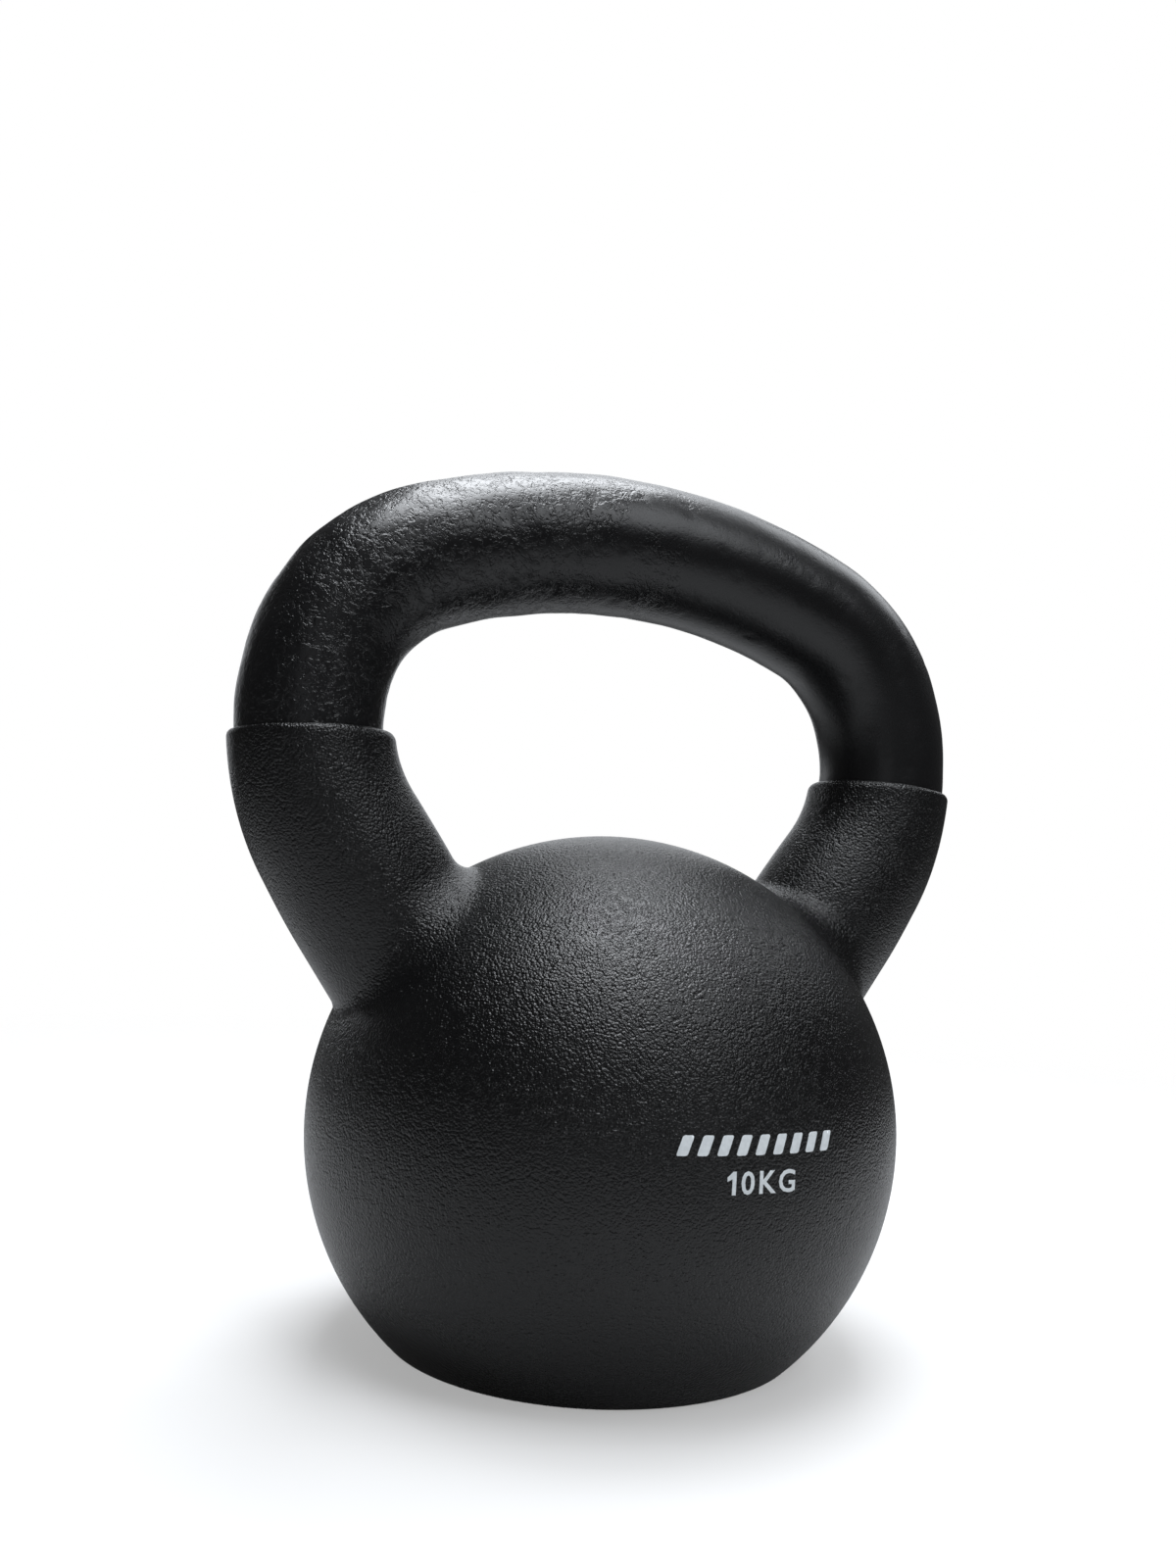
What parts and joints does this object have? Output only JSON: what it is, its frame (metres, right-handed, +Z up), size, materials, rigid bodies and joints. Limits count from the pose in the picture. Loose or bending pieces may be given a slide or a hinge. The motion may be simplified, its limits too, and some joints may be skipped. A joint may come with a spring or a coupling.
{
  "type": "kettlebell",
  "caption": "Ball-shaped cast-iron hand weight with a flat base, a closed arched grip on two horns, and a dipped vinyl jacket that stops in a lip above the horns.",
  "frame": {"origin": "centre of the flat base, on the surface it stands on", "axes": "+Z up through the ball towards the grip, +X along the grip, in the handle's plane, and -Y towards the printed front"},
  "size_m": [0.1774, 0.1358, 0.1992],
  "materials": {
    "painted_iron": "satin black enamel over a rough sand casting, lumpy and finely pitted",
    "vinyl_jacket": "matte black dipped vinyl with a fine pebbled grain",
    "print_ink": "pale grey pad-printed ink, matte, slightly soft at its edges"
  },
  "bodies": {
    "root": {"iron_casting": "painted_iron", "jacket": "vinyl_jacket", "figure_one": "print_ink", "figure_zero": "print_ink", "letter_k": "print_ink", "letter_g": "print_ink", "print_bar_1": "print_ink", "print_bar_2": "print_ink", "print_bar_3": "print_ink", "print_bar_4": "print_ink", "print_bar_5": "print_ink", "print_bar_6": "print_ink", "print_bar_7": "print_ink", "print_bar_8": "print_ink", "print_bar_9": "print_ink"}
  },
  "joints": []
}
